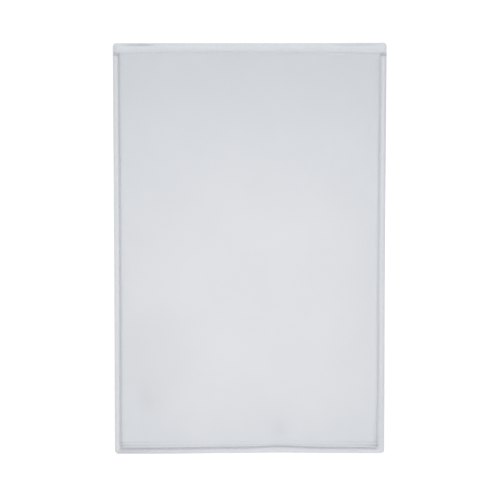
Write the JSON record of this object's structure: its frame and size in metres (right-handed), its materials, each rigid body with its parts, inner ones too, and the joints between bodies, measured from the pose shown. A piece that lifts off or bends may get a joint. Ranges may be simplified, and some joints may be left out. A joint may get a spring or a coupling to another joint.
{
  "type": "badge holder",
  "caption": "Clear soft-vinyl badge pouch, open at the top, with sealed edges and a thumb lip on its taller back film.",
  "frame": {"origin": "middle of the pouch's outline, on its back face", "axes": "+X to the right seen from the front, +Y up to the mouth, +Z out of the front film; the pouch lies on its back"},
  "size_m": [0.1082, 0.164, 0.0012],
  "materials": {
    "front_film": "clear soft PVC film, polished",
    "back_film": "clear soft PVC film, slightly hazy",
    "edge_seal": "heat-pressed soft PVC with a squeezed-out bead"
  },
  "bodies": {
    "pouch": {"back_film": "back_film", "left_seal": "edge_seal", "right_seal": "edge_seal", "bottom_seal": "edge_seal"},
    "front": {"front_film": "front_film"},
    "lip": {"thumb_lip": "back_film"}
  },
  "joints": [
    {"name": "mouth_open", "type": "hinge", "parent": "pouch", "child": "front", "pos_m": [0, -0.0801, 0.00045], "axis": [1, 0, 0], "range_deg": [0, 4], "stiffness_Nm_per_rad": 0.3},
    {"name": "lip_bend", "type": "hinge", "parent": "pouch", "child": "lip", "pos_m": [0, 0.07885, 0.00015], "axis": [1, 0, 0], "range_deg": [0, 80], "stiffness_Nm_per_rad": 0.003}
  ]
}
